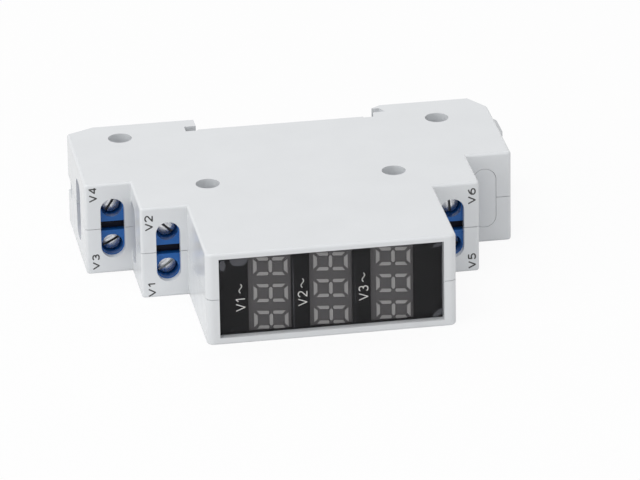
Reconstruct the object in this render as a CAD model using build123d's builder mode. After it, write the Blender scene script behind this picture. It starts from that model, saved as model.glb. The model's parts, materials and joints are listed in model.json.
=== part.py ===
from build123d import *
import os

# One-module voltage indicator for a 35 mm rail, lying on its side.
# X runs across the rail, Y from the display back to the rail, Z along the rail.
# The origin is the middle of the rail seat, half way through the width. Millimetres.

# Outside of the housing
module_width = 17.6
nose_length = 45.0
upper_tier_length = 62.0
overall_length = 78.8
nose_depth = 57.6
upper_tier_drop = 22.8
lower_tier_drop = 35.4
foot_depth = 4.9
nose_corner_radius = 1.3
tier_corner_radius = 0.6
edge_radius = 0.5

# Walls of the housing and the joint between its halves
end_wall = 1.2
tier_wall = 1.3
front_wall = 2.2
side_wall = 1.3
hook_wall = 1.8
seam_width = 0.12
seam_depth = 0.3

# Stops behind the display board and the terminal blocks
stop_reach = 2.0
stop_thickness = 1.0
stop_play = 0.1

# Shallow notch in the left end, across the joint
end_notch_depth = 0.5
end_notch_length = 5.6
end_notch_height = 2.9
end_notch_y = -0.2
end_notch_z = -0.75

# Rail, its seat and the fixed hook
rail_width = 35.0
rail_play = 0.2
flange_slot = 1.8
hook_reach = 2.2
left_heel_drop = 2.5
left_heel_run = 5.1
right_heel_drop = 5.0
right_heel_run = 3.0
seat_relief = 0.4
seat_relief_play = 0.1
notch_lift = 0.1
notch_inset = 0.4
notch_reach = 1.4
notch_slant = 0.8
notch_lip = 0.2

# Assembly posts: outer blind holes, bosses and the pins that hold the halves together
post_hole = 4.4
post_hole_depth = 4.5
post_boss = 6.2
post_pin = 2.2
post_pin_height = 3.0
post_fit = 0.1
board_hole_play = 0.3
rear_left_inset = 9.4
rear_left_lift = 1.2
rear_right_inset = 10.3
rear_right_lift = 3.2
front_left_gap = 2.3
front_left_drop = 9.1
front_right_gap = 2.8
front_right_drop = 8.4

# Terminal windows, wire entries and the blanking plug
window_width = 4.4
window_length = 11.6
wire_entry_lead = 0.85
wire_entry_depth = 5.4
wire_entry_length = 11.2
wire_entry_radius = 1.8
plug_fit = 0.07
plug_flange = 0.6
plug_flange_thickness = 0.8

# Terminal blocks, one for each pole, on both faces of the main board
block_length = 6.6
block_width = 5.6
block_play = 0.5
block_lift = 0.1
head_diameter = 3.5
head_thickness = 1.3
head_recess = 1.7
head_fit = 0.2
slot_width = 0.6
slot_depth = 0.7
shank_diameter = 2.5
shank_fit = 0.1
shoulder = 0.5
cage_travel = 2.0
cage_top = 0.8
cage_bottom = 0.7
cage_side = 0.7
cage_width = 4.2
cage_length = 3.4
wire_gap = 2.3
contact_thickness = 0.7
contact_width = 2.4
contact_fit = 0.3
contact_slot_play = 0.1
cage_fit = 0.15
cage_play = 0.5
block_floor = 0.6
wire_hole_width = 3.8
solder_foot = 0.8
slot_turns = (144, 44, 153, 122, 20, 85)

# Display: front window, mask, three three-digit displays and their board
window_rim = 2.4
window_shift = 0.1
frame_fit = 0.1
window_recess = 0.25
window_thickness = 1.0
mask_thickness = 0.2
mask_border = 0.3
display_length = 10.2
display_depth = 6.0
display_gap = 0.1
display_side_gap = 0.8
display_wall_gap = 0.2
display_ledge_play = 0.3
view_margin = 1.25
reflector_face = 1.0
reflector_wall = 0.6
digit_margin = 0.15
digit_height = 6.4
digit_width = 3.6
segment_width = 0.75
segment_gap = 0.12
segment_relief = 0.05
potting_depth = 3.0

# Boards
board_thickness = 1.6
board_margin = 0.6
board_post_gap = 0.8
plug_board_gap = 4.0
display_board_gap = 1.3
tab_width = 8.0
tab_spacing = 22.0
tab_fit = 0.1

# Parts on the main board
capacitor_gap = 1.2
capacitor_end_gap = 2.1
capacitor_wall_gap = 0.6
capacitor_depth = 6.0
capacitor_corner = 0.5
capacitor_row = 6.5
resistor_length = 8.5
resistor_diameter = 3.0
resistor_row = 13.5
varistor_diameter = 9.0
varistor_thickness = 3.4
varistor_bevel = 0.7
varistor_row = 12.5
rear_row_inset = 6.0
can_diameter = 5.0
can_length = 7.0
chip_length = 12.8
chip_depth = 7.5
chip_height = 2.3
lead_count = 10
lead_pitch = 1.27
lead_width = 0.4
lead_reach = 1.4
lead_height = 0.8
crystal_length = 10.8
crystal_depth = 4.4
crystal_height = 3.4
regulator_length = 6.6
regulator_depth = 6.1
regulator_height = 2.3
part_gap = 1.6
part_lift = 0.1

# Rail clip: a flanged bar in a groove of the right foot, with a tooth and a pull tab
clip_travel = 2.6
clip_tooth_reach = 1.7
tooth_lift = 0.3
tooth_edge = 0.6
rail_flange = 1.0
bar_back_gap = 0.4
bar_width = 6.8
flange_width = 9.2
flange_depth = 1.4
clip_fit = 0.2
bar_gap = 0.8
tab_inset = 2.8
tab_root = 1.0
tab_overhang = 2.3
tab_height = 8.6
tab_corner = 1.8
tab_slot_width = 1.2
tab_slot_length = 5.6
tab_slot_margin = 0.9
leg_slit_width = 1.6
leg_slit_margin = 3.1
bump_radius = 0.6
bump_inset = 8.6
bump_play = 0.3

# Places worked out from the sizes above
half_width = module_width / 2
nose_x = nose_length / 2
upper_x = upper_tier_length / 2
end_x = overall_length / 2
nose_y = -nose_depth
upper_y = nose_y + upper_tier_drop
lower_y = nose_y + lower_tier_drop
back_y = foot_depth
seat_x = (rail_width + rail_play) / 2
tooth_tip = seat_x - clip_tooth_reach
cavity_half = half_width - side_wall
board_half = board_thickness / 2
part_base = board_half + part_lift

# Layers behind the nose's face
window_frame_length = nose_length - 2 * window_rim
window_frame_width = 2 * cavity_half
window_front = nose_y + window_recess
mask_front = window_front + window_thickness
mask_back = mask_front + mask_thickness
display_front = mask_back + display_gap
display_board_front = display_front + display_depth
display_board_back = display_board_front + board_thickness
display_width = 2 * (cavity_half - display_wall_gap)
display_view = display_length - 2 * view_margin
display_pitch = display_length + display_side_gap
display_row_length = 3 * display_length + 2 * display_side_gap
display_board_length = nose_length - 2 * (end_wall + display_board_gap)
digit_pitch = (display_width - 2 * digit_margin - digit_width) / 2

# Depths inside a terminal block, counted from its face
shoulder_depth = head_recess + head_thickness
pocket_depth = shoulder_depth + shoulder
cage_open = pocket_depth + cage_fit + cage_travel
contact_depth = cage_open + cage_top + contact_fit
cage_floor_depth = contact_depth + contact_thickness + wire_gap
block_depth = cage_floor_depth + cage_bottom + cage_fit + block_floor
shank_end = contact_depth - contact_fit / 2
entry_front = tier_wall + contact_depth - wire_entry_lead

# Places of the terminals: behind their tiers, beside the end walls, on both board faces
upper_screw_x = upper_x - end_wall - block_play - block_length / 2
lower_screw_x = end_x - end_wall - block_play - block_length / 2
upper_block_back = upper_y + tier_wall + block_depth
lower_block_back = lower_y + tier_wall + block_depth
pole_offset = board_half + block_lift + block_width / 2
block_pocket_length = cage_length + 2 * cage_play
foot_x = (block_pocket_length + block_length) / 4

# Places of the assembly posts
front_post_reach = upper_screw_x - block_length / 2 - post_boss / 2
rear_left_post = (rear_left_inset - end_x, -rear_left_lift)
rear_right_post = (end_x - rear_right_inset, -rear_right_lift)
front_left_post = (front_left_gap - front_post_reach, upper_y + front_left_drop)
front_right_post = (front_post_reach - front_right_gap, upper_y + front_right_drop)
posts = (rear_left_post, rear_right_post, front_left_post, front_right_post)

# Places of the parts on the main board
board_back = -rear_right_lift - post_boss / 2 - board_post_gap
capacitor_room = nose_length - 2 * (end_wall + capacitor_end_gap + capacitor_gap)
capacitor_length = capacitor_room / 3
capacitor_pitch = capacitor_length + capacitor_gap
capacitor_height = cavity_half - part_base - capacitor_wall_gap
rear_row_y = board_back - rear_row_inset
crystal_x = (chip_length + crystal_depth) / 2 + part_gap
regulator_x = -(chip_length + regulator_length) / 2 - part_gap
can_x = regulator_x - (regulator_length + can_diameter) / 2 - part_gap

# Places along the rail clip
clip_floor = rail_flange + tooth_lift - 2 * clip_fit
clip_back = back_y - bar_back_gap
tab_front = clip_back - tab_height
bar_start = seat_x + bar_gap
tab_start = end_x - tab_inset
tab_end = end_x + tab_overhang
leg_slit_start = bar_start + leg_slit_margin
leg_slit_end = tab_start - leg_slit_margin
bump_x = tab_start - bump_inset

os.makedirs("parts", exist_ok=True)


def save(part, name):
    part.label = name
    export_step(part, f"parts/{name}.step")


# Outline of both housing halves, seen from the side: nose, two tiers on each side,
# rail seat with the fixed hook on the left and the notched clip foot on the right
notch_x = seat_x + notch_inset
notch_front = flange_slot - notch_lift
notch_back = notch_front + flange_slot
outline_points = [
    (-nose_x, nose_y),
    (nose_x, nose_y),
    (nose_x, upper_y),
    (upper_x, upper_y),
    (upper_x, lower_y),
    (end_x, lower_y),
    (end_x, back_y - right_heel_drop),
    (end_x - right_heel_run, back_y),
    (seat_x + hook_reach, back_y),
    (notch_x, notch_back + notch_lip),
    (notch_x, notch_back),
    (notch_x + notch_reach, notch_back),
    (notch_x + notch_reach + notch_slant, notch_front),
    (notch_x, notch_front),
    (seat_x, -seat_relief),
    (tooth_tip - seat_relief_play, -seat_relief),
    (tooth_tip - seat_relief_play, 0),
    (-seat_x + hook_reach + seat_relief_play, 0),
    (-seat_x + hook_reach + seat_relief_play, -seat_relief),
    (-seat_x, -seat_relief),
    (-seat_x, flange_slot),
    (-seat_x + hook_reach, flange_slot),
    (-seat_x + hook_reach, back_y),
    (-end_x + left_heel_run, back_y),
    (-end_x, back_y - left_heel_drop),
    (-end_x, lower_y),
    (-upper_x, lower_y),
    (-upper_x, upper_y),
    (-nose_x, upper_y),
]
front_corners = [
    (Vector(side * x, y), radius)
    for side in (-1, 1)
    for x, y, radius in (
        (nose_x, nose_y, nose_corner_radius),
        (upper_x, upper_y, tier_corner_radius),
        (end_x, lower_y, tier_corner_radius),
    )
]

# Hollow of the housing, with a pocket in the hook foot
pocket_x = seat_x + hook_wall
tab_wall_x = tab_start - clip_fit - end_wall
tab_wall_y = tab_front - clip_fit - end_wall
cavity_points = [
    (-nose_x + end_wall, nose_y + front_wall),
    (nose_x - end_wall, nose_y + front_wall),
    (nose_x - end_wall, upper_y + tier_wall),
    (upper_x - end_wall, upper_y + tier_wall),
    (upper_x - end_wall, lower_y + tier_wall),
    (end_x - end_wall, lower_y + tier_wall),
    (end_x - end_wall, tab_wall_y),
    (tab_wall_x, tab_wall_y),
    (tab_wall_x, -end_wall),
    (-pocket_x, -end_wall),
    (-pocket_x, back_y - end_wall),
    (-end_x + left_heel_run, back_y - end_wall),
    (-end_x + end_wall, back_y - end_wall - left_heel_drop),
    (-end_x + end_wall, lower_y + tier_wall),
    (-upper_x + end_wall, lower_y + tier_wall),
    (-upper_x + end_wall, upper_y + tier_wall),
    (-nose_x + end_wall, upper_y + tier_wall),
]

with BuildPart() as housing:
    with BuildSketch() as outline:
        with BuildLine():
            Polyline(*outline_points, close=True)
        make_face()
        for corner, radius in front_corners:
            fillet(outline.vertices().sort_by_distance(corner)[0], radius)
    extrude(amount=half_width, both=True)
    rims = housing.faces().filter_by(Axis.Z).edges().filter_by(lambda e: e.center().Y < -edge_radius)
    fillet(rims, edge_radius)
    with BuildSketch():
        with BuildLine():
            Polyline(*cavity_points, close=True)
        make_face()
    extrude(amount=cavity_half, both=True, mode=Mode.SUBTRACT)
    # Parting groove where the halves meet, along the visible outline
    with BuildSketch():
        add(outline.sketch)
        offset(outline.sketch, amount=-seam_depth, mode=Mode.SUBTRACT)
        with Locations((0, nose_y / 2 - seam_depth)):
            Rectangle(overall_length + 2 * seam_depth, nose_depth, mode=Mode.INTERSECT)
    extrude(amount=seam_width / 2, both=True, mode=Mode.SUBTRACT)
    # Opening for the front window, with a ledge behind both of its ends
    with BuildSketch(Plane(origin=(0, nose_y, window_shift), x_dir=(1, 0, 0), z_dir=(0, 1, 0))):
        Rectangle(window_frame_length + 2 * frame_fit, window_frame_width + 2 * frame_fit)
    extrude(amount=mask_back - nose_y, mode=Mode.SUBTRACT)
    with BuildSketch(Plane(origin=(0, nose_y, 0), x_dir=(1, 0, 0), z_dir=(0, 1, 0))):
        Rectangle(display_row_length + 2 * display_ledge_play, 2 * cavity_half)
    extrude(amount=front_wall, mode=Mode.SUBTRACT)
    # Round-ended screw windows in the four tiers
    for x, y in (
        (-upper_screw_x, upper_y),
        (-lower_screw_x, lower_y),
        (upper_screw_x, upper_y),
        (lower_screw_x, lower_y),
    ):
        with BuildSketch(Plane(origin=(x, y, 0), x_dir=(0, 0, 1), z_dir=(0, 1, 0))):
            SlotOverall(window_length, window_width)
        extrude(amount=tier_wall, mode=Mode.SUBTRACT)
    # Wire entries in the walls beside the three used tiers
    for x, y in ((-upper_x, upper_y), (-end_x, lower_y), (upper_x, upper_y)):
        side = 1 if x > 0 else -1
        entry_y = y + entry_front + wire_entry_depth / 2
        with BuildSketch(Plane(origin=(x, entry_y, 0), x_dir=(0, 0, 1), z_dir=(-side, 0, 0))):
            RectangleRounded(wire_entry_length, wire_entry_depth, wire_entry_radius)
        extrude(amount=end_wall, mode=Mode.SUBTRACT)
    # Notch in the left end
    with BuildSketch(Plane(origin=(-end_x, end_notch_y, end_notch_z), x_dir=(0, 0, 1), z_dir=(1, 0, 0))):
        Rectangle(end_notch_height, end_notch_length)
    extrude(amount=end_notch_depth, mode=Mode.SUBTRACT)
    # Groove for the rail clip, open to the back and at the end
    with BuildSketch(Plane.XZ.offset(-clip_floor + clip_fit)):
        with Locations(((seat_x + tab_start) / 2, 0)):
            Rectangle(tab_start - seat_x, flange_width + 2 * clip_fit)
    extrude(amount=-(flange_depth + 2 * clip_fit), mode=Mode.SUBTRACT)
    with BuildSketch(Plane.XZ.offset(-clip_floor + clip_fit)):
        with Locations(((seat_x + tab_start) / 2, 0)):
            Rectangle(tab_start - seat_x, bar_width + 2 * clip_fit)
    extrude(amount=-(back_y - clip_floor + clip_fit), mode=Mode.SUBTRACT)
    with BuildSketch(Plane.XZ.offset(-tab_front + clip_fit)):
        with Locations(((tab_start - clip_fit + end_x) / 2, 0)):
            Rectangle(end_x - tab_start + clip_fit, flange_width + 2 * clip_fit)
    extrude(amount=-(back_y - tab_front + clip_fit), mode=Mode.SUBTRACT)
    # Pockets beside the groove for the clip's detent bumps
    with BuildSketch(Plane.XZ.offset(-clip_floor + clip_fit)):
        with Locations((bump_x + clip_travel / 2, 0)):
            Rectangle(
                clip_travel + 2 * (bump_radius + bump_play),
                flange_width + 2 * (bump_radius + bump_play),
            )
    extrude(amount=-(flange_depth + 2 * clip_fit), mode=Mode.SUBTRACT)

# Stops: at the nose's end walls behind the display board, and behind the terminal blocks
stop_places = [
    (side * (outer_x - stop_reach / 2), y + stop_play + stop_thickness / 2)
    for side, outer_x, y in (
        (-1, nose_x - end_wall, display_board_back),
        (1, nose_x - end_wall, display_board_back),
        (-1, upper_screw_x, upper_block_back),
        (1, upper_screw_x, upper_block_back),
        (-1, lower_screw_x, lower_block_back),
    )
]
stop_level = board_half + stop_play

# Upper half: bosses with the blind holes outside and sockets for the pins inside
with BuildPart() as housing_upper:
    add(housing.part)
    split(bisect_by=Plane.XY, keep=Keep.TOP)
    for post, level in zip(posts, (0, 0, board_half, board_half)):
        with BuildSketch(Plane.XY.offset(level)):
            with Locations(post):
                Circle(post_boss / 2)
        extrude(amount=half_width - edge_radius - level)
        with BuildSketch(Plane.XY.offset(level)):
            with Locations(post):
                Circle(post_pin / 2 + post_fit)
        extrude(amount=post_pin_height + post_fit - level, mode=Mode.SUBTRACT)
    with BuildSketch(Plane.XY.offset(stop_level)):
        with Locations(*stop_places):
            Rectangle(stop_reach, stop_thickness)
    extrude(amount=cavity_half - stop_level)
    with BuildSketch(Plane.XY.offset(half_width)):
        with Locations(*posts):
            Circle(post_hole / 2)
    extrude(amount=-post_hole_depth, mode=Mode.SUBTRACT)
save(housing_upper.part, "housing_upper")

# Lower half: bosses that carry the main board, with the joining pins
with BuildPart() as housing_lower:
    add(housing.part)
    split(bisect_by=Plane.XY, keep=Keep.BOTTOM)
    for post, level in zip(posts, (0, 0, -board_half, -board_half)):
        with BuildSketch(Plane.XY.offset(level)):
            with Locations(post):
                Circle(post_boss / 2)
        extrude(amount=-(half_width - edge_radius + level))
        with BuildSketch(Plane.XY.offset(level)):
            with Locations(post):
                Circle(post_pin / 2)
        extrude(amount=post_pin_height - level)
    with BuildSketch(Plane.XY.offset(-stop_level)):
        with Locations(*stop_places):
            Rectangle(stop_reach, stop_thickness)
    extrude(amount=stop_level - cavity_half)
save(housing_lower.part, "housing_lower")

# Blanking plug of the unused lower tier on the right, held by a flange behind the wall
with BuildPart() as blanking_plug:
    with BuildSketch(Plane(origin=(lower_screw_x, lower_y, 0), x_dir=(0, 0, 1), z_dir=(0, 1, 0))):
        SlotOverall(window_length - 2 * plug_fit, window_width - 2 * plug_fit)
    extrude(amount=tier_wall + plug_flange_thickness)
    with BuildSketch(
        Plane(origin=(lower_screw_x, lower_y + tier_wall, 0), x_dir=(0, 0, 1), z_dir=(0, 1, 0))
    ):
        SlotOverall(window_length + 2 * plug_flange, window_width + 2 * plug_flange)
    extrude(amount=plug_flange_thickness)
save(blanking_plug.part, "blanking_plug")


def front_plane(x, y, z=0.0):
    """Plane that faces the viewer of the display, with text up along -X."""
    return Plane(origin=(x, y, z), x_dir=(0, 0, 1), z_dir=(0, -1, 0))


# Clear front window and the black mask behind it
with BuildPart() as front_window:
    with BuildSketch(front_plane(0, window_front, window_shift)):
        Rectangle(window_frame_width, window_frame_length)
    extrude(amount=-window_thickness)
save(front_window.part, "front_window")

display_places = [display_pitch * step for step in (-1, 0, 1)]

with BuildPart() as front_mask:
    with BuildSketch(front_plane(0, mask_front, window_shift)):
        Rectangle(window_frame_width, window_frame_length)
        with Locations(*[(0, x) for x in display_places]):
            Rectangle(window_frame_width - 2 * mask_border, display_view, mode=Mode.SUBTRACT)
    extrude(amount=-mask_thickness)
save(front_mask.part, "front_mask")


def segment_places():
    """Middle, turn and length of each of the seven bars of a digit."""
    across = digit_width - segment_width
    tall = (digit_height - segment_width) / 2
    bars = [(0, tall * step, 0, across) for step in (-1, 0, 1)]
    bars += [(across / 2 * sx, tall / 2 * sy, 90, tall) for sx in (-1, 1) for sy in (-1, 1)]
    return bars


def digit_bars(grow):
    """All bars of the three digits of a display, drawn into the open sketch."""
    half_tip = segment_width / 2 + grow
    for step in (-1, 0, 1):
        for x, y, turn, length in segment_places():
            run = length / 2 - segment_gap + grow
            with Locations(Location((digit_pitch * step + x, y), turn)):
                Polygon(
                    (-run, 0),
                    (-run + half_tip, -half_tip),
                    (run - half_tip, -half_tip),
                    (run, 0),
                    (run - half_tip, half_tip),
                    (-run + half_tip, half_tip),
                )


# Displays: a reflector with the bar openings, and the cast resin that fills them
for number, x in enumerate(display_places, start=1):
    with BuildPart() as reflector:
        with BuildSketch(front_plane(x, display_front)):
            Rectangle(display_width, display_length)
        extrude(amount=-display_depth)
        with BuildSketch(front_plane(x, display_front + reflector_face)):
            Rectangle(display_width - 2 * reflector_wall, display_length - 2 * reflector_wall)
        extrude(amount=-(display_depth - reflector_face), mode=Mode.SUBTRACT)
        with BuildSketch(front_plane(x, display_front)):
            digit_bars(0)
        extrude(amount=-reflector_face, mode=Mode.SUBTRACT)
    save(reflector.part, f"display_reflector_{number}")

    with BuildPart() as resin:
        with BuildSketch(front_plane(x, display_front + reflector_face)):
            Rectangle(display_width - 2 * reflector_wall, display_length - 2 * reflector_wall)
        extrude(amount=-potting_depth)
        with BuildSketch(front_plane(x, display_front + reflector_face)):
            digit_bars(-segment_relief)
        extrude(amount=reflector_face - segment_relief)
    save(resin.part, f"display_digits_{number}")

# Board behind the displays, with slots for the tabs of the main board
with BuildPart() as display_board:
    with BuildSketch(front_plane(0, display_board_front)):
        Rectangle(display_width, display_board_length)
        with Locations(*[(0, x) for x in (-tab_spacing / 2, tab_spacing / 2)]):
            Rectangle(board_thickness + 2 * tab_fit, tab_width + 2 * tab_fit, mode=Mode.SUBTRACT)
    extrude(amount=-board_thickness)
save(display_board.part, "display_board")

# Main board in the middle plane, between the terminal blocks
board_nose_x = nose_x - end_wall - board_margin
board_upper_x = upper_x - end_wall - board_margin
board_lower_x = end_x - end_wall - board_margin
board_upper_y = upper_y + tier_wall + 2 * board_margin
board_lower_y = lower_y + tier_wall + 2 * board_margin
board_plug_x = lower_screw_x - window_width / 2 - plug_flange - plug_board_gap
board_points = [
    (-board_nose_x, display_board_back),
    (board_nose_x, display_board_back),
    (board_nose_x, board_upper_y),
    (board_upper_x, board_upper_y),
    (board_upper_x, lower_y - board_margin),
    (board_plug_x, lower_y - board_margin),
    (board_plug_x, board_back),
    (-board_lower_x, board_back),
    (-board_lower_x, board_lower_y),
    (-board_upper_x, board_lower_y),
    (-board_upper_x, board_upper_y),
    (-board_nose_x, board_upper_y),
]

with BuildPart() as main_board:
    with BuildSketch():
        with BuildLine():
            Polyline(*board_points, close=True)
        make_face()
        with Locations(*[
            (x, display_board_back - board_thickness / 2)
            for x in (-tab_spacing / 2, tab_spacing / 2)
        ]):
            Rectangle(tab_width, board_thickness)
        with Locations(front_left_post, front_right_post):
            Circle(post_pin / 2 + board_hole_play, mode=Mode.SUBTRACT)
    extrude(amount=board_half, both=True)
save(main_board.part, "main_board")

# Every pole: place of its screw, tier, wire side and board face
poles = (
    (-upper_screw_x, upper_y, -1, -1),
    (-upper_screw_x, upper_y, -1, 1),
    (-lower_screw_x, lower_y, -1, -1),
    (-lower_screw_x, lower_y, -1, 1),
    (upper_screw_x, upper_y, 1, -1),
    (upper_screw_x, upper_y, 1, 1),
)


def pole_plane(x, y, level, side, depth):
    """Plane across a terminal at a depth behind its face; local X points to the wire side."""
    return Plane(origin=(x, y + tier_wall + depth, level * pole_offset), x_dir=(side, 0, 0), z_dir=(0, 1, 0))


for number, (x, y, side, level) in enumerate(poles, start=1):
    # The main board lies on this side of a pole plane's own X axis
    inward = level * side

    with BuildPart() as terminal_block:
        with BuildSketch(pole_plane(x, y, level, side, 0)):
            Rectangle(block_length, block_width)
        extrude(amount=block_depth)
        with BuildSketch(pole_plane(x, y, level, side, 0)):
            Circle(head_diameter / 2 + head_fit)
        extrude(amount=shoulder_depth, mode=Mode.SUBTRACT)
        with BuildSketch(pole_plane(x, y, level, side, 0)):
            Circle(shank_diameter / 2 + head_fit)
        extrude(amount=pocket_depth, mode=Mode.SUBTRACT)
        with BuildSketch(pole_plane(x, y, level, side, pocket_depth)):
            Rectangle(block_pocket_length, cage_width + 2 * cage_fit)
        extrude(amount=block_depth - block_floor - pocket_depth, mode=Mode.SUBTRACT)
        # Wire hole on the outer side
        with BuildSketch(pole_plane(x, y, level, side, contact_depth)):
            with Locations((block_length / 2, 0)):
                Rectangle(block_length, wire_hole_width)
        extrude(amount=block_depth - block_floor - contact_depth, mode=Mode.SUBTRACT)
        # Slot that holds the contact bar, open towards the board for its solder foot
        with BuildSketch(pole_plane(x, y, level, side, contact_depth - contact_slot_play / 2)):
            foot_slot = solder_foot + contact_slot_play
            with Locations((-foot_x, inward * block_width / 4)):
                Rectangle(foot_slot, block_width / 2)
            slot_run = foot_x + foot_slot / 2 - cage_length / 2
            with Locations((-(cage_length + slot_run) / 2, 0)):
                Rectangle(slot_run, contact_width + contact_slot_play)
        extrude(amount=contact_thickness + contact_slot_play, mode=Mode.SUBTRACT)
    save(terminal_block.part, f"terminal_block_{number}")

    with BuildPart() as terminal_screw:
        with BuildSketch(pole_plane(x, y, level, side, head_recess)):
            Circle(head_diameter / 2)
        extrude(amount=head_thickness)
        with BuildSketch(pole_plane(x, y, level, side, head_recess)):
            Rectangle(2 * head_diameter, slot_width, rotation=slot_turns[number - 1])
        extrude(amount=slot_depth, mode=Mode.SUBTRACT)
        with BuildSketch(pole_plane(x, y, level, side, shoulder_depth)):
            Circle(shank_diameter / 2)
        extrude(amount=shank_end - shoulder_depth)
    save(terminal_screw.part, f"terminal_screw_{number}")

    with BuildPart() as clamp_cage:
        with BuildSketch(pole_plane(x, y, level, side, cage_open)):
            Rectangle(cage_length, cage_width)
        extrude(amount=cage_floor_depth + cage_bottom - cage_open)
        with BuildSketch(pole_plane(x, y, level, side, cage_open + cage_top)):
            Rectangle(cage_length, cage_width - 2 * cage_side)
        extrude(amount=cage_floor_depth - cage_open - cage_top, mode=Mode.SUBTRACT)
        with BuildSketch(pole_plane(x, y, level, side, cage_open)):
            Circle(shank_diameter / 2 + shank_fit)
        extrude(amount=cage_top, mode=Mode.SUBTRACT)
    save(clamp_cage.part, f"clamp_cage_{number}")

    with BuildPart() as contact:
        bar_run = cage_length / 2 + foot_x + solder_foot / 2
        foot_run = pole_offset - board_half
        with BuildSketch(pole_plane(x, y, level, side, contact_depth)):
            with Locations(((cage_length - bar_run) / 2, 0)):
                Rectangle(bar_run, contact_width)
            with Locations((-foot_x, inward * foot_run / 2)):
                Rectangle(solder_foot, foot_run)
        extrude(amount=contact_thickness)
    save(contact.part, f"contact_bar_{number}")

# A film capacitor, a series resistor and a varistor for each measured phase
first_row = display_board_back
for number, step in enumerate((-1, 0, 1), start=1):
    with BuildPart() as film_capacitor:
        with BuildSketch(Plane.XY.offset(part_base)):
            with Locations((capacitor_pitch * step, first_row + capacitor_row)):
                Rectangle(capacitor_length, capacitor_depth)
        extrude(amount=capacitor_height)
        fillet(film_capacitor.edges().filter_by(Axis.Z), capacitor_corner)
    save(film_capacitor.part, f"film_capacitor_{number}")

    with BuildPart() as resistor:
        resistor_level = part_base + resistor_diameter / 2
        resistor_middle = (capacitor_pitch * step, first_row + resistor_row, resistor_level)
        with BuildSketch(Plane(origin=resistor_middle, z_dir=(1, 0, 0))):
            Circle(resistor_diameter / 2)
        extrude(amount=resistor_length / 2, both=True)
    save(resistor.part, f"series_resistor_{number}")

    with BuildPart() as varistor:
        with BuildSketch(Plane.XY.offset(-part_base)):
            with Locations((capacitor_pitch * step, first_row + varistor_row)):
                Circle(varistor_diameter / 2)
        extrude(amount=-varistor_thickness)
        chamfer(varistor.edges().filter_by(GeomType.CIRCLE), varistor_bevel)
    save(varistor.part, f"varistor_{number}")

# Smoothing capacitor, voltage regulator, controller and crystal, in a row near the rail
with BuildPart() as smoothing_capacitor:
    can_middle = (can_x, rear_row_y, part_base + can_diameter / 2)
    with BuildSketch(Plane(origin=can_middle, z_dir=(0, 1, 0))):
        Circle(can_diameter / 2)
    extrude(amount=can_length / 2, both=True)
save(smoothing_capacitor.part, "smoothing_capacitor")

with BuildPart() as controller_chip:
    with BuildSketch(Plane.XY.offset(part_base)):
        with Locations((0, rear_row_y)):
            Rectangle(chip_length, chip_depth)
    extrude(amount=chip_height)
    with BuildSketch(Plane.XY.offset(part_base)):
        with Locations((0, rear_row_y)):
            with GridLocations(lead_pitch, 0, lead_count, 1):
                Rectangle(lead_width, chip_depth + 2 * lead_reach)
    extrude(amount=lead_height)
save(controller_chip.part, "controller_chip")

with BuildPart() as crystal:
    with BuildSketch(Plane.XY.offset(part_base)):
        with Locations((crystal_x, rear_row_y)):
            SlotOverall(crystal_length, crystal_depth, rotation=90)
    extrude(amount=crystal_height)
save(crystal.part, "crystal")

with BuildPart() as regulator:
    with BuildSketch(Plane.XY.offset(part_base)):
        with Locations((regulator_x, rear_row_y)):
            Rectangle(regulator_length, regulator_depth)
    extrude(amount=regulator_height)
save(regulator.part, "voltage_regulator")

# Rail clip
tooth_front = rail_flange + tooth_lift
with BuildPart() as rail_clip:
    # Bar with its lead-in tooth
    with BuildSketch():
        with BuildLine():
            Polyline(
                (tooth_tip, tooth_front),
                (tooth_tip, tooth_front + tooth_edge),
                (bar_start + tooth_edge, clip_back),
                (tab_start + tab_root, clip_back),
                (tab_start + tab_root, clip_floor),
                (bar_start, clip_floor),
                (bar_start, tooth_front),
                close=True,
            )
        make_face()
    extrude(amount=bar_width / 2, both=True)
    with BuildSketch(Plane.XZ.offset(-clip_floor)):
        with Locations(((bar_start + tab_start + tab_root) / 2, 0)):
            Rectangle(tab_start + tab_root - bar_start, flange_width)
        with Locations((bump_x, flange_width / 2), (bump_x, -flange_width / 2)):
            Circle(bump_radius)
    extrude(amount=-flange_depth)
    # Pull tab at the end, rounded outside
    with BuildSketch() as tab:
        with Locations(((tab_start + tab_end) / 2, (tab_front + clip_back) / 2)):
            Rectangle(tab_end - tab_start, tab_height)
        fillet(tab.vertices().group_by(Axis.X)[-1], tab_corner)
    extrude(amount=flange_width / 2, both=True)
    # Screwdriver slot in the tab and the slit that makes the bar springy
    with BuildSketch(Plane.XZ.offset(-tab_front)):
        with Locations((tab_end - tab_slot_margin - tab_slot_width / 2, 0)):
            Rectangle(tab_slot_width, tab_slot_length)
    extrude(amount=-tab_height, mode=Mode.SUBTRACT)
    with BuildSketch(Plane.XZ.offset(-clip_floor)):
        with Locations(((leg_slit_start + leg_slit_end) / 2, 0)):
            SlotOverall(leg_slit_end - leg_slit_start, leg_slit_width)
    extrude(amount=clip_floor - clip_back, mode=Mode.SUBTRACT)
save(rail_clip.part, "rail_clip")
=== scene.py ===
import json
import math

import bmesh
import bpy
from mathutils import Matrix, Vector


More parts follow.
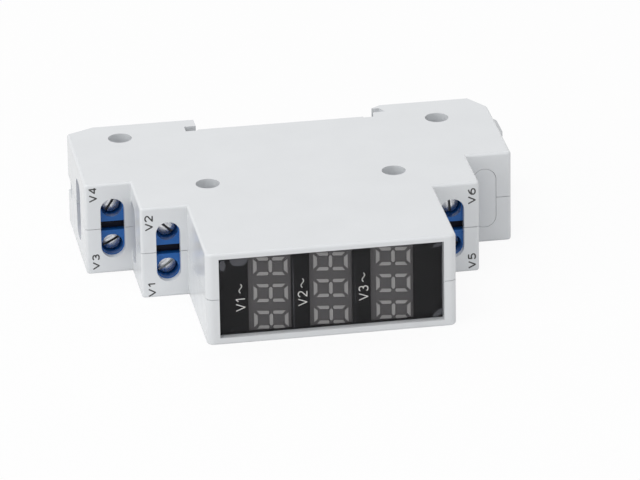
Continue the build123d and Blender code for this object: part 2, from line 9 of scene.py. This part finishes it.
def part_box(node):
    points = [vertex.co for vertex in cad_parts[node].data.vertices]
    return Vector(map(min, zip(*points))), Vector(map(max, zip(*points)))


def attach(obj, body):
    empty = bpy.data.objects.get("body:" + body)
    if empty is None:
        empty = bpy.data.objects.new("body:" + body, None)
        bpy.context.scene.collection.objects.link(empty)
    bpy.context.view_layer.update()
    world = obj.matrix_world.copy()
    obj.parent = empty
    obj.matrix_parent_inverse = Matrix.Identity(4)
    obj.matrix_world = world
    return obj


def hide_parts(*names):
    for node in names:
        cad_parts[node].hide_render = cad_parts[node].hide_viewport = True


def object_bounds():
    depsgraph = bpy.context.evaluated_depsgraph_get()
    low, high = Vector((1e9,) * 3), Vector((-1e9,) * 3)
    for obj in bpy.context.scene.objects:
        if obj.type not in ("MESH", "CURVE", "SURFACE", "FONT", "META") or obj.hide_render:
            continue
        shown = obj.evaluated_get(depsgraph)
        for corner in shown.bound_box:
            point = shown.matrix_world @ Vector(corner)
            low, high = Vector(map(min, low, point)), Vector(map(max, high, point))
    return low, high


# Looks of a one-module voltage indicator that lies on its side.
# Everything is in metres, in the frame of the construction model.
MM = 0.001

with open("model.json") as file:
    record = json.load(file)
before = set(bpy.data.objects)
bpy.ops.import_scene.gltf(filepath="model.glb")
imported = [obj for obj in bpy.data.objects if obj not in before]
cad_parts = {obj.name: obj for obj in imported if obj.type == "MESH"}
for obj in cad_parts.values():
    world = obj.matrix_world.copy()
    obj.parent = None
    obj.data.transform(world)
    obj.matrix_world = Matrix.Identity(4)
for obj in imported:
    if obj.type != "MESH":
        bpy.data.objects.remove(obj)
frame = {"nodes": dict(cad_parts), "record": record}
cad_low, cad_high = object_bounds()

# Places read from the construction model, and the radius of the housing's edges
floor_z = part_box("housing_lower")[0].z
mask_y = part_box("front_mask")[0].y
edge_radius = 0.5 * MM

# Terminal screws, in millimetres
head_thickness = 1.3
head_dome = 0.20
head_rim = 0.20
head_rings = 8
screw_sides = 64
shank_radius = 1.25
thread_pitch = 0.45
thread_depth = 0.2
thread_steepness = 1.3
thread_rings = 8
tip_chamfer = 0.3
slot_width = 0.44
slot_depth = 0.7
slot_wear = 0.04

# Turn of each screw's slot in degrees, and the screw whose slot is worn shallow
slot_angles = (36, 136, 27, 58, 160, 95)
worn_screw = 1
worn_slot_depth = 0.45

# Digits, in millimetres: slanted bars, and how far the digits sit from each display's middle
digit_height = 6.27
digit_width = 3.6
digit_pitch = 5.17
digit_lift = -0.2
digit_slant = 0.069
digit_shifts = (0.25, 0.05, 0.30)
bar_width = 0.75
end_bar_inset = 0.36
end_bar_mitre = 0.62
side_bar_inset = 0.49
side_bar_mitre = 0.56
side_bar_start = 0.34
side_bar_chamfer = 0.2
middle_bar_reach = 1.19
middle_bar_tip = 0.12
middle_bar_shoulder = 0.34
reflector_face = 1.0
reflector_wall = 0.6
resin_depth = 3.0
resin_relief = 0.05

# Camera that took the photograph: place, turn and lens
camera_place = Vector((-152.09, -985.03, 419.93)) * MM
camera_pitch = -0.41146
camera_yaw = 0.16041
camera_roll = -0.01657
camera_focal_pixels = 5810.2
image_width = 640
sensor_width = 36.0

# Light: strength of the even sky, and power of the three soft lamps in watts
sky_light = 0.55
overhead_power = 5.0
left_power = 3.05
front_power = 0.9

# Share of plain white in the floor that the camera sees
floor_whiteness = 0.90


# Node helpers

def new_material(name):
    """Material with its principled shader and node tree."""
    made = bpy.data.materials.new(name)
    made.use_nodes = True
    return made, made.node_tree, made.node_tree.nodes["Principled BSDF"]


def place_of(tree):
    """Object coordinates, in metres."""
    return tree.nodes.new("ShaderNodeTexCoord").outputs["Object"]


def noise(tree, size, detail=2.0, stretch=(1, 1, 1)):
    """Cloudy pattern whose spots are about size metres across."""
    mapping = tree.nodes.new("ShaderNodeMapping")
    mapping.inputs["Scale"].default_value = stretch
    tree.links.new(place_of(tree), mapping.inputs["Vector"])
    pattern = tree.nodes.new("ShaderNodeTexNoise")
    pattern.inputs["Scale"].default_value = 1 / size
    pattern.inputs["Detail"].default_value = detail
    tree.links.new(mapping.outputs["Vector"], pattern.inputs["Vector"])
    return pattern.outputs["Fac"]


def between(tree, factor, low, high, start=0.3, end=0.7):
    """Number that runs from low to high as factor runs from start to end."""
    spread = tree.nodes.new("ShaderNodeMapRange")
    spread.inputs["From Min"].default_value = start
    spread.inputs["From Max"].default_value = end
    spread.inputs["To Min"].default_value = low
    spread.inputs["To Max"].default_value = high
    tree.links.new(factor, spread.inputs["Value"])
    return spread.outputs["Result"]


def blend_colours(tree, factor, first, second, start=0.3, end=0.7):
    """Colour that runs from first to second as factor runs from start to end."""
    ramp = tree.nodes.new("ShaderNodeValToRGB")
    ramp.color_ramp.elements[0].position = start
    ramp.color_ramp.elements[0].color = (*first, 1)
    ramp.color_ramp.elements[1].position = end
    ramp.color_ramp.elements[1].color = (*second, 1)
    tree.links.new(factor, ramp.inputs["Fac"])
    return ramp.outputs["Color"]


def shade(tree, shader, pattern, colour, darkest):
    """Base colour that a pattern varies between a darker share of the colour and the colour."""
    darker = tuple(part * darkest for part in colour)
    tint = blend_colours(tree, pattern, darker, colour)
    tree.links.new(tint, shader.inputs["Base Color"])


def gloss_between(tree, shader, pattern, low, high):
    """Roughness that a pattern varies from low to high."""
    tree.links.new(between(tree, pattern, low, high), shader.inputs["Roughness"])


def add_bump(tree, shader, height, distance):
    """Small relief from a height pattern."""
    relief = tree.nodes.new("ShaderNodeBump")
    relief.inputs["Strength"].default_value = 1.0
    relief.inputs["Distance"].default_value = distance
    tree.links.new(height, relief.inputs["Height"])
    tree.links.new(relief.outputs["Normal"], shader.inputs["Normal"])


def moulded(name, colour, roughness, relief=0.004 * MM, gloss=0.5):
    """Moulded plastic: cloudy tint, uneven gloss and a fine grain."""
    made, tree, shader = new_material(name)
    shader.inputs["Specular IOR Level"].default_value = gloss
    shade(tree, shader, noise(tree, 9 * MM, 3), colour, 0.97)
    gloss_between(tree, shader, noise(tree, 3 * MM, 2), roughness * 0.9, roughness * 1.12)
    add_bump(tree, shader, noise(tree, 0.35 * MM, 2), relief)
    return made


def metal(name, colour, roughness):
    """Plated or bare metal with fine machining marks."""
    made, tree, shader = new_material(name)
    shader.inputs["Metallic"].default_value = 1.0
    marks = noise(tree, 0.12 * MM, 4)
    shade(tree, shader, marks, colour, 0.8)
    gloss_between(tree, shader, marks, roughness * 0.7, roughness * 1.4)
    add_bump(tree, shader, marks, 0.01 * MM)
    return made


def turned_metal(name, dark, bright, roughness):
    """Zinc-plated head: turning marks about the screw's own axis, and darker streaks that are partly
    mottled plating and partly painted dark reflections.
    """
    made, tree, shader = new_material(name)
    shader.inputs["Metallic"].default_value = 1.0
    mottle_and_reflection = noise(tree, 0.9 * MM, 3, (0.45, 1, 1.7))
    tree.links.new(blend_colours(tree, mottle_and_reflection, dark, bright), shader.inputs["Base Color"])
    gloss_between(tree, shader, mottle_and_reflection, roughness * 1.5, roughness * 0.8)
    rings = tree.nodes.new("ShaderNodeTexWave")
    rings.wave_type = "RINGS"
    rings.rings_direction = "Y"
    rings.inputs["Scale"].default_value = 0.3 / (0.2 * MM)
    rings.inputs["Distortion"].default_value = 1.5
    tree.links.new(place_of(tree), rings.inputs["Vector"])
    add_bump(tree, shader, rings.outputs["Fac"], 0.006 * MM)
    return made


# Pale marks on the window, partly smears and dust of its protective film and partly painted glare:
# smudges near the corners, two hairlines beside the displays, the right rim and dust. Each has its place
# across and along, half its length and half its width in millimetres, its turn in degrees and its
# strength
FILM_MARKS_AND_GLARE = (
    (-16.6, 7.4, 1.7, 1.4, 0, 0.9),
    (-19.5, 6.4, 0.6, 1.1, 0, 0.9),
    (19.2, -6.1, 1.2, 0.55, 35, 0.8),
    (19.1, 7.1, 1.0, 0.4, 20, 0.8),
    (-6.9, -0.2, 0.09, 7.4, 0, 0.8),
    (4.2, -0.2, 0.08, 7.4, 0, 0.5),
    (20.0, 0.0, 0.28, 8.0, 0, 0.6),
    (-18.05, -6.15, 0.13, 0.13, 0, 1.6),
    (15.2, 6.6, 0.13, 0.13, 0, 1.3),
    (18.4, -4.0, 0.13, 0.12, 0, 1.2),
    (16.9, -5.6, 0.18, 0.12, 0, 1.0),
)

# How soft the edges of the marks are, and how much the window covers where it is clean and marked
mark_softness = 0.08
clean_cover = 0.06
marked_cover = 0.22


def film_marks_and_glare(tree):
    """Pattern that is 0 on the clean window and rises on the marks of its film and on the painted glare.
    """
    total = None
    for x, z, half_length, half_width, turn, strength in FILM_MARKS_AND_GLARE:
        spot = tree.nodes.new("ShaderNodeMapping")
        spot.vector_type = "TEXTURE"
        spot.inputs["Location"].default_value = (x * MM, 0, z * MM)
        spot.inputs["Rotation"].default_value = (0, -math.radians(turn), 0)
        spot.inputs["Scale"].default_value = (half_length * MM, 1, half_width * MM)
        tree.links.new(place_of(tree), spot.inputs["Vector"])
        ball = tree.nodes.new("ShaderNodeTexGradient")
        ball.gradient_type = "SPHERICAL"
        tree.links.new(spot.outputs["Vector"], ball.inputs["Vector"])
        mark = between(tree, ball.outputs["Fac"], 0.0, strength, 0.0, mark_softness)
        if total is None:
            total = mark
            continue
        larger = tree.nodes.new("ShaderNodeMath")
        larger.operation = "MAXIMUM"
        tree.links.new(total, larger.inputs[0])
        tree.links.new(mark, larger.inputs[1])
        total = larger.outputs[0]
    return total


def clear_sheet(name):
    """Clear front window with the marks of its protective film and painted glare."""
    made, tree, shader = new_material(name)
    shader.inputs["Roughness"].default_value = 0.05
    shader.inputs["IOR"].default_value = 1.55
    # Film marks and painted glare turn the window pale grey and less clear
    marks = film_marks_and_glare(tree)
    clean = (0.02, 0.021, 0.026)
    pale = (0.42, 0.43, 0.48)
    tree.links.new(blend_colours(tree, marks, clean, pale, 0.0, 1.0), shader.inputs["Base Color"])
    cover = between(tree, marks, clean_cover, marked_cover, 0.0, 1.0)
    tree.links.new(cover, shader.inputs["Alpha"])
    return made


def ink(name, colour):
    """Printed lettering, slightly uneven."""
    made, tree, shader = new_material(name)
    shader.inputs["Roughness"].default_value = 0.55
    shade(tree, shader, noise(tree, 0.25 * MM, 2), colour, 0.9)
    return made


materials = {
    "housing": moulded("light_grey_plastic", (0.735, 0.752, 0.770), 0.22, 0.002 * MM),
    "clip": moulded("clip_plastic", (0.56, 0.575, 0.59), 0.34),
    "window": clear_sheet("clear_window"),
    "mask": moulded("black_mask", (0.014, 0.014, 0.015), 0.6, gloss=0.15),
    "reflector": moulded("grey_reflector", (0.100, 0.096, 0.099), 0.5, gloss=0.3),
    "digits": moulded("milky_resin", (0.385, 0.377, 0.377), 0.45, gloss=0.3),
    "board": moulded("dark_board", (0.004, 0.005, 0.014), 0.5, gloss=0.15),
    "terminal_block": moulded("blue_plastic", (0.010, 0.112, 0.39), 0.3, gloss=0.35),
    # Screw heads run from a dark bluish grey, partly painted dark reflection, to near white
    "screw": turned_metal("zinc_screw", (0.36, 0.37, 0.41), (0.96, 0.965, 0.97), 0.24),
    # Insides of the slots: painted shade, with less of it in the worn screw's shallow slot
    "slot": metal("shaded_slot", (0.17, 0.17, 0.18), 0.5),
    "worn_slot": metal("worn_slot", (0.52, 0.54, 0.53), 0.5),
    "cage": metal("zinc_cage", (0.70, 0.71, 0.73), 0.35),
    "contact": metal("tinned_bar", (0.78, 0.76, 0.72), 0.3),
    "film_capacitor": moulded("yellow_case", (0.62, 0.42, 0.04), 0.35),
    "resistor": moulded("lacquer", (0.20, 0.38, 0.42), 0.3),
    "varistor": moulded("blue_epoxy", (0.03, 0.12, 0.36), 0.4),
    "capacitor_can": metal("bare_can", (0.75, 0.76, 0.78), 0.3),
    "chip": moulded("black_epoxy", (0.02, 0.02, 0.021), 0.5),
    "crystal": metal("pressed_can", (0.76, 0.76, 0.77), 0.25),
    "dark_ink": ink("dark_ink", (0.055, 0.055, 0.055)),
    "pale_ink": ink("pale_ink", (0.88, 0.88, 0.86)),
}


def dress_frame():
    """Gives every node of the construction model its material."""
    slots = {row["node"]: row["material_slot"] for row in frame["record"]["subparts"]}
    for name, node in frame["nodes"].items():
        for slot in node.material_slots:
            slot.link = "OBJECT"
            slot.material = materials[slots[name]]


# Closed bodies, in millimetres

def add_object(name, data):
    """Object that stands in the scene."""
    made = bpy.data.objects.new(name, data)
    bpy.context.collection.objects.link(made)
    return made


def arc(centre, radius, start, end, steps=12):
    """Points on an arc, with angles in degrees."""
    angles = [math.radians(start + (end - start) * step / steps) for step in range(steps + 1)]
    return [(centre[0] + radius * math.cos(a), centre[1] + radius * math.sin(a)) for a in angles]


def shapes_mesh(outlines, front, back):
    """Closed prisms over outlines of (x, z), from the depth front to the depth back."""
    body = bmesh.new()
    for outline in outlines:
        near = [body.verts.new((x, front, z)) for x, z in outline]
        far = [body.verts.new((x, back, z)) for x, z in outline]
        body.faces.new(near)
        body.faces.new(far)
        for step in range(len(outline)):
            after = (step + 1) % len(outline)
            body.faces.new((near[step], near[after], far[after], far[step]))
    bmesh.ops.recalc_face_normals(body, faces=body.faces)
    mesh = bpy.data.meshes.new("shapes")
    body.to_mesh(mesh)
    body.free()
    return mesh


def block(low, high):
    """Closed box between two corners."""
    outline = [(low[0], low[2]), (high[0], low[2]), (high[0], high[2]), (low[0], high[2])]
    return shapes_mesh([outline], low[1], high[1])


def combined(first, second, operation):
    """Mesh of the first body after the second is cut from it or joined to it."""
    body = add_object("body", first)
    tool = add_object("tool", second)
    change = body.modifiers.new("change", "BOOLEAN")
    change.operation = operation
    change.object = tool
    depsgraph = bpy.context.evaluated_depsgraph_get()
    result = bpy.data.meshes.new_from_object(body.evaluated_get(depsgraph))
    bpy.data.objects.remove(body)
    bpy.data.objects.remove(tool)
    return result


# Displays

def digit_outlines(grow):
    """The seven bars of an eight, as (x along the digit, z across it) around its middle."""
    top = digit_height / 2
    side = digit_width / 2
    half = bar_width / 2
    end_reach = side - end_bar_inset
    outer = top - side_bar_inset
    inner = outer - side_bar_mitre
    end_bar = [
        (top + grow, end_reach + grow),
        (top + grow, -end_reach - grow),
        (top - bar_width - grow, end_bar_mitre - end_reach - grow),
        (top - bar_width - grow, end_reach - end_bar_mitre + grow),
    ]
    side_bar = [
        (side_bar_start + side_bar_chamfer, side + grow),
        (outer + grow, side + grow),
        (inner + grow, side - bar_width - grow),
        (side_bar_start + side_bar_chamfer, side - bar_width - grow),
        (side_bar_start - grow, side - bar_width + side_bar_chamfer),
        (side_bar_start - grow, side - side_bar_chamfer),
    ]
    shoulder = middle_bar_reach - middle_bar_shoulder
    tip = middle_bar_reach + grow
    half += grow
    middle_bar = [
        (half, shoulder), (middle_bar_tip, tip), (-middle_bar_tip, tip), (-half, shoulder),
        (-half, -shoulder), (-middle_bar_tip, -tip), (middle_bar_tip, -tip), (half, -shoulder),
    ]
    outlines = [middle_bar]
    for x_side in (-1, 1):
        outlines.append([(x * x_side, z) for x, z in end_bar])
        for z_side in (-1, 1):
            outlines.append([(x * x_side, z * z_side) for x, z in side_bar])
    return [[(x, z - digit_slant * x) for x, z in outline] for outline in outlines]


def display_outlines(shift, grow):
    """All bars of the three digits of a display."""
    return [
        [(x + shift, z + digit_lift + digit_pitch * step) for x, z in outline]
        for step in (-1, 0, 1)
        for outline in digit_outlines(grow)
    ]


def add_display_piece(name, mesh, middle, slot, node):
    """Puts a display piece in place of its node."""
    mesh.transform(Matrix.Translation(middle) @ Matrix.Scale(MM, 4))
    mesh.materials.clear()
    mesh.materials.append(materials[slot])
    piece = add_object(name, mesh)
    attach(piece, "housing")
    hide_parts(node)


def make_displays():
    """Reflectors with mitred, slanted bar openings, and the resin that fills them."""
    for number, shift in enumerate(digit_shifts, 1):
        low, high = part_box(f"display_reflector_{number}")
        half_x = (high.x - low.x) / 2 / MM
        half_z = (high.z - low.z) / 2 / MM
        depth = (high.y - low.y) / MM
        room_x = half_x - reflector_wall
        room_z = half_z - reflector_wall
        middle = Vector(((low.x + high.x) / 2, low.y, (low.z + high.z) / 2))
        bar_end = reflector_face + resin_depth / 2
        resin_end = reflector_face + resin_depth
        body = block((-half_x, 0, -half_z), (half_x, depth, half_z))
        room = block((-room_x, reflector_face, -room_z), (room_x, depth + 1, room_z))
        body = combined(body, room, "DIFFERENCE")
        openings = shapes_mesh(display_outlines(shift, 0), -1, bar_end)
        body = combined(body, openings, "DIFFERENCE")
        node = f"display_reflector_{number}"
        add_display_piece(f"reflector_{number}", body, middle, "reflector", node)
        resin = block((-room_x, reflector_face, -room_z), (room_x, resin_end, room_z))
        bars = shapes_mesh(display_outlines(shift, -resin_relief), resin_relief, bar_end)
        resin = combined(resin, bars, "UNION")
        add_display_piece(f"digits_{number}", resin, middle, "digits", f"display_digits_{number}")


# Terminal screws

def thread_radius(depth, angle):
    """Radius of the shank on its helix."""
    turn = (depth / thread_pitch - angle / (2 * math.pi)) % 1
    return shank_radius - thread_depth * min(1, thread_steepness * abs(2 * turn - 1))


def screw_rings(length, head_radius):
    """Rings of a screw from its head to its tip: depth, radius and whether it is threaded."""
    flat = head_radius - head_rim
    rings = []
    for step in range(1, head_rings + 1):
        radius = flat * step / head_rings
        rings.append((head_dome * (radius / flat) ** 2, radius, False))
    for depth, radius in arc((head_dome + head_rim, flat), head_rim, 180, 90, 5)[1:]:
        rings.append((depth, radius, False))
    rings.append((head_thickness - head_rim / 2, head_radius, False))
    rings.append((head_thickness, head_radius - head_rim / 2, False))
    rings.append((head_thickness, shank_radius, False))
    depth = head_thickness + thread_pitch
    while depth < length - tip_chamfer:
        rings.append((depth, shank_radius, True))
        depth += thread_pitch / thread_rings
    rings.append((length - tip_chamfer, shank_radius - thread_depth, False))
    rings.append((length, shank_radius - thread_depth - tip_chamfer, False))
    return rings


def revolved_screw(length, head_radius):
    """Closed body of a screw without its slot, along +Y from the middle of its head."""
    rings = screw_rings(length, head_radius)
    body = bmesh.new()
    top = body.verts.new((0, 0, 0))
    tip = body.verts.new((0, length, 0))
    loops = []
    for depth, radius, threaded in rings:
        loop = []
        for side in range(screw_sides):
            angle = 2 * math.pi * side / screw_sides
            reach = thread_radius(depth, angle) if threaded else radius
            loop.append(body.verts.new((reach * math.cos(angle), depth, reach * math.sin(angle))))
        loops.append(loop)
    for side in range(screw_sides):
        after = (side + 1) % screw_sides
        body.faces.new((top, loops[0][side], loops[0][after]))
        body.faces.new((tip, loops[-1][after], loops[-1][side]))
        for upper, lower in zip(loops, loops[1:]):
            body.faces.new((upper[side], lower[side], lower[after], upper[after]))
    bmesh.ops.recalc_face_normals(body, faces=body.faces)
    mesh = bpy.data.meshes.new("screw_body")
    body.to_mesh(mesh)
    body.free()
    return mesh


def cut_slot(mesh, head_radius, depth):
    """The same body with the slot across its head."""
    reach = 2 * head_radius
    slot = block((-reach, -1, -slot_width / 2), (reach, depth, slot_width / 2))
    return combined(mesh, slot, "DIFFERENCE")


def wear_slot(mesh, depth):
    """Rounds the upper edges of the slot and gives its inside the second material."""
    body = bmesh.new()
    body.from_mesh(mesh)
    wall = slot_width / 2
    rims = []
    for edge in body.edges:
        on_wall = all(abs(abs(vert.co.z) - wall) < 1e-4 for vert in edge.verts)
        above_floor = all(vert.co.y < depth - 0.01 for vert in edge.verts)
        if on_wall and above_floor and edge.is_manifold and edge.calc_face_angle() > 0.5:
            rims.append(edge)
    bmesh.ops.bevel(body, geom=rims, offset=slot_wear, segments=2, affect="EDGES")
    # Faces inside the slot take the second material, which paints shade in the slot
    for face in body.faces:
        middle = face.calc_center_median()
        face.material_index = int(abs(middle.z) < wall + 1e-3 and middle.y < depth + 1e-3)
        face.smooth = True
    body.to_mesh(mesh)
    body.free()
    mesh.set_sharp_from_angle(angle=math.radians(35))


def make_screws():
    """Domed slotted screws with a cut thread, in place of the plain ones."""
    for number, angle in enumerate(slot_angles, 1):
        node = f"terminal_screw_{number}"
        low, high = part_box(node)
        head_radius = (high.x - low.x) / 2 / MM
        depth = worn_slot_depth if number == worn_screw else slot_depth
        mesh = cut_slot(revolved_screw((high.y - low.y) / MM, head_radius), head_radius, depth)
        wear_slot(mesh, depth)
        mesh.transform(Matrix.Scale(MM, 4))
        mesh.materials.append(materials["screw"])
        mesh.materials.append(materials["worn_slot" if number == worn_screw else "slot"])
        piece = add_object(f"slotted_screw_{number}", mesh)
        piece.location = ((low.x + high.x) / 2, low.y, (low.z + high.z) / 2)
        piece.rotation_euler.y = -math.radians(angle)
        bpy.context.view_layer.update()
        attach(piece, f"screw_{number}")
        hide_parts(node)


# Lettering: each glyph is its width and its strokes, on a cell one cap height tall

def wave(run, middle, height, steps=16):
    """Points on one period of a sine wave."""
    return [
        (run * step / steps, middle + height * math.sin(2 * math.pi * step / steps))
        for step in range(steps + 1)
    ]


SIX_STROKES = [arc((0.30, 0.30), 0.29, 0, 360, 20), [(0.51, 0.97)] + arc((0.58, 0.36), 0.58, 118, 178, 6)]
GLYPHS = {
    "V": (0.70, [[(0.0, 1.0), (0.35, 0.0), (0.70, 1.0)]]),
    "1": (0.30, [[(0.0, 0.74), (0.26, 1.0), (0.26, 0.0)]]),
    "2": (0.58, [arc((0.28, 0.72), 0.28, 170, -35) + [(0.0, 0.0), (0.58, 0.0)]]),
    "3": (0.58, [arc((0.27, 0.75), 0.25, 155, -90) + arc((0.28, 0.27), 0.28, 90, -155)[1:]]),
    "4": (0.62, [[(0.62, 0.27), (0.0, 0.27), (0.47, 1.0), (0.47, 0.0)]]),
    "5": (0.60, [[(0.56, 1.0), (0.12, 1.0), (0.07, 0.53)] + arc((0.29, 0.31), 0.30, 125, -155)]),
    "6": (0.60, SIX_STROKES),
    "~": (3.00, [wave(3.0, 0.5, 0.5)]),
}

# Gap between glyphs in the units of their cell, thickness of the ink in metres, and widths of the
# pens in millimetres
glyph_gap = 0.26
print_thickness = 0.012 * MM
label_pen = 0.27
name_pen = 0.16
sign_pen = 0.12


def divided(stroke, step):
    """The same stroke with points no further apart than step."""
    points = [stroke[0]]
    for (x0, z0), (x1, z1) in zip(stroke, stroke[1:]):
        parts = max(1, math.ceil(math.hypot(x1 - x0, z1 - z0) / step))
        for part in range(1, parts + 1):
            points.append((x0 + (x1 - x0) * part / parts, z0 + (z1 - z0) * part / parts))
    return points


def stroke_mesh(name, strokes, pen):
    """Mesh of round strokes, each a list of (x, z), in the plane of a face that looks along -Y."""
    curve = bpy.data.curves.new(name, "CURVE")
    curve.dimensions = "3D"
    curve.bevel_depth = pen / 2
    curve.bevel_resolution = 2
    curve.use_fill_caps = True
    for stroke in strokes:
        stroke = divided(stroke, edge_radius / 5)
        spline = curve.splines.new("POLY")
        spline.points.add(len(stroke) - 1)
        for point, (x, z) in zip(spline.points, stroke):
            point.co = (x, 0, z, 1)
    drawn = bpy.data.objects.new(name, curve)
    mesh = bpy.data.meshes.new_from_object(drawn)
    bpy.data.objects.remove(drawn)
    mesh.transform(Matrix.Diagonal((1, print_thickness / pen, 1, 1)))
    return mesh


def lettering(name, text, base_x, start_z, length, cap, face, pen):
    """Text that reads along +Z with its top towards -X, as long as it is told to be."""
    widths = [GLYPHS[letter][0] for letter in text]
    cell_height = cap - pen
    cell_length = (length - pen) / (sum(widths) + glyph_gap * (len(text) - 1))
    strokes = []
    start = 0.0
    for letter, width in zip(text, widths):
        for stroke in GLYPHS[letter][1]:
            strokes.append([
                (base_x - pen / 2 - y * cell_height, start_z + pen / 2 + (start + x) * cell_length)
                for x, y in stroke
            ])
        start += width + glyph_gap
    mesh = stroke_mesh(name, strokes, pen)
    for vert in mesh.vertices:
        over = max(0.0, floor_z + edge_radius - vert.co.z)
        vert.co.y += face + edge_radius - math.sqrt(edge_radius ** 2 - over ** 2)
    return add_object(name, mesh)


def print_labels():
    """Terminal numbers beside the screw windows.

    Each row has the text, the places of its base line and its start, its length and its cap height,
    all in millimetres, and the face that it is printed on.
    """
    tier_wall = 1.3 * MM
    upper_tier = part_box("terminal_block_1")[0].y - tier_wall
    lower_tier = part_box("terminal_block_3")[0].y - tier_wall
    labels = (
        ("V1", -28.44, -8.63, 2.78, 1.48, upper_tier),
        ("V2", -28.66, 4.34, 3.06, 1.58, upper_tier),
        ("V3", -36.98, -7.99, 3.11, 1.39, lower_tier),
        ("V4", -37.10, 5.35, 2.96, 1.59, lower_tier),
        ("V5", 30.38, -8.19, 3.02, 1.54, upper_tier),
        ("V6", 30.39, 4.53, 3.18, 1.56, upper_tier),
    )
    for text, x, z, length, cap, face in labels:
        name = "label_" + text
        piece = lettering(name, text, x * MM, z * MM, length * MM, cap * MM, face, label_pen * MM)
        piece.data.materials.append(materials["dark_ink"])
        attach(piece, "housing")


def print_legends():
    """Names of the three displays with the sign for alternating voltage, printed on the mask.

    Each row has the piece's name, its text, the places of its base line and its start, its length,
    its cap height and the width of its pen, in millimetres.
    """
    legends = (
        ("name_V1", "V1", -15.37, -3.11, 2.51, 1.79, name_pen),
        ("sign_V1", "~", -15.93, 0.35, 1.86, 0.62, sign_pen),
        ("name_V2", "V2", -4.26, -3.03, 2.88, 1.72, name_pen),
        ("sign_V2", "~", -4.82, 0.46, 1.86, 0.62, sign_pen),
        ("name_V3", "V3", 6.72, -2.94, 2.90, 1.76, name_pen),
        ("sign_V3", "~", 6.16, 0.61, 1.85, 0.62, sign_pen),
    )
    for name, text, x, z, length, cap, pen in legends:
        piece = lettering(name, text, x * MM, z * MM, length * MM, cap * MM, mask_y, pen * MM)
        piece.data.materials.append(materials["pale_ink"])
        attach(piece, "housing")


# Stage, light and camera

def floor_material():
    """Pale floor that stays white in the picture and keeps a soft shadow."""
    made, tree, shader = new_material("pale_floor")
    shader.inputs["Roughness"].default_value = 0.9
    shader.inputs["Specular IOR Level"].default_value = 0.0
    tint = blend_colours(tree, noise(tree, 40 * MM, 2), (0.89, 0.89, 0.89), (0.91, 0.91, 0.91))
    tree.links.new(tint, shader.inputs["Base Color"])
    white = tree.nodes.new("ShaderNodeEmission")
    white.inputs["Strength"].default_value = 1.0
    rays = tree.nodes.new("ShaderNodeLightPath")
    seen = tree.nodes.new("ShaderNodeMath")
    seen.operation = "MULTIPLY"
    seen.inputs[1].default_value = floor_whiteness
    tree.links.new(rays.outputs["Is Camera Ray"], seen.inputs[0])
    mix = tree.nodes.new("ShaderNodeMixShader")
    tree.links.new(seen.outputs[0], mix.inputs["Fac"])
    tree.links.new(shader.outputs["BSDF"], mix.inputs[1])
    tree.links.new(white.outputs["Emission"], mix.inputs[2])
    tree.links.new(mix.outputs["Shader"], tree.nodes["Material Output"].inputs["Surface"])
    return made


def make_floor():
    """Large plain floor under the object."""
    mesh = bpy.data.meshes.new("floor")
    reach = 3.0
    corners = [(-reach, -reach, 0), (reach, -reach, 0), (reach, reach, 0), (-reach, reach, 0)]
    mesh.from_pydata(corners, [], [(0, 1, 2, 3)])
    floor = add_object("floor", mesh)
    floor.location.z = floor_z
    mesh.materials.append(floor_material())


def make_world():
    """Even sky light; camera, mirror and glass rays see plain white."""
    world = bpy.data.worlds.new("studio")
    bpy.context.scene.world = world
    world.use_nodes = True
    tree = world.node_tree
    back = tree.nodes["Background"]
    back.inputs["Color"].default_value = (1, 1, 1, 1)
    rays = tree.nodes.new("ShaderNodeLightPath")
    seen = rays.outputs["Is Camera Ray"]
    for kind in ("Is Glossy Ray", "Is Transmission Ray"):
        either = tree.nodes.new("ShaderNodeMath")
        either.operation = "MAXIMUM"
        tree.links.new(seen, either.inputs[0])
        tree.links.new(rays.outputs[kind], either.inputs[1])
        seen = either.outputs[0]
    strength = tree.nodes.new("ShaderNodeMapRange")
    strength.inputs["To Min"].default_value = sky_light
    strength.inputs["To Max"].default_value = 1.0
    tree.links.new(seen, strength.inputs["Value"])
    tree.links.new(strength.outputs["Result"], back.inputs["Strength"])


def lamp(name, place, aim, size, power):
    """Large soft lamp that looks at a point of the object."""
    data = bpy.data.lights.new(name, "AREA")
    data.shape = "SQUARE"
    data.size = size
    data.energy = power
    made = add_object(name, data)
    made.location = place
    made.rotation_euler = (aim - place).to_track_quat("-Z", "Y").to_euler()


def light_scene():
    """Overhead softbox, a weaker one from the left and one from the front."""
    middle = (cad_low + cad_high) / 2
    lamp("overhead", Vector((-0.25, -0.15, 1.10)), middle, 0.8, overhead_power)
    lamp("left_fill", Vector((-1.00, -0.45, 0.45)), middle, 0.7, left_power)
    lamp("front_fill", Vector((0.20, -1.20, 0.35)), middle, 0.7, front_power)


def make_camera():
    """Camera at the photograph's place, looking its way."""
    forward = Vector((
        math.sin(camera_yaw) * math.cos(camera_pitch),
        math.cos(camera_yaw) * math.cos(camera_pitch),
        math.sin(camera_pitch),
    ))
    level_right = Vector((math.cos(camera_yaw), -math.sin(camera_yaw), 0))
    level_up = level_right.cross(forward)
    right = math.cos(camera_roll) * level_right + math.sin(camera_roll) * level_up
    up = -math.sin(camera_roll) * level_right + math.cos(camera_roll) * level_up
    data = bpy.data.cameras.new("camera")
    data.sensor_width = sensor_width
    data.lens = camera_focal_pixels / image_width * sensor_width
    data.clip_start = 0.05
    data.clip_end = 20
    made = add_object("camera", data)
    turn = Matrix((right, up, -forward)).transposed().to_4x4()
    made.matrix_world = Matrix.Translation(camera_place) @ turn
    bpy.context.scene.camera = made


dress_frame()
make_displays()
make_screws()
print_labels()
print_legends()
make_floor()
make_world()
light_scene()
make_camera()
bpy.context.scene.view_settings.view_transform = "Standard"
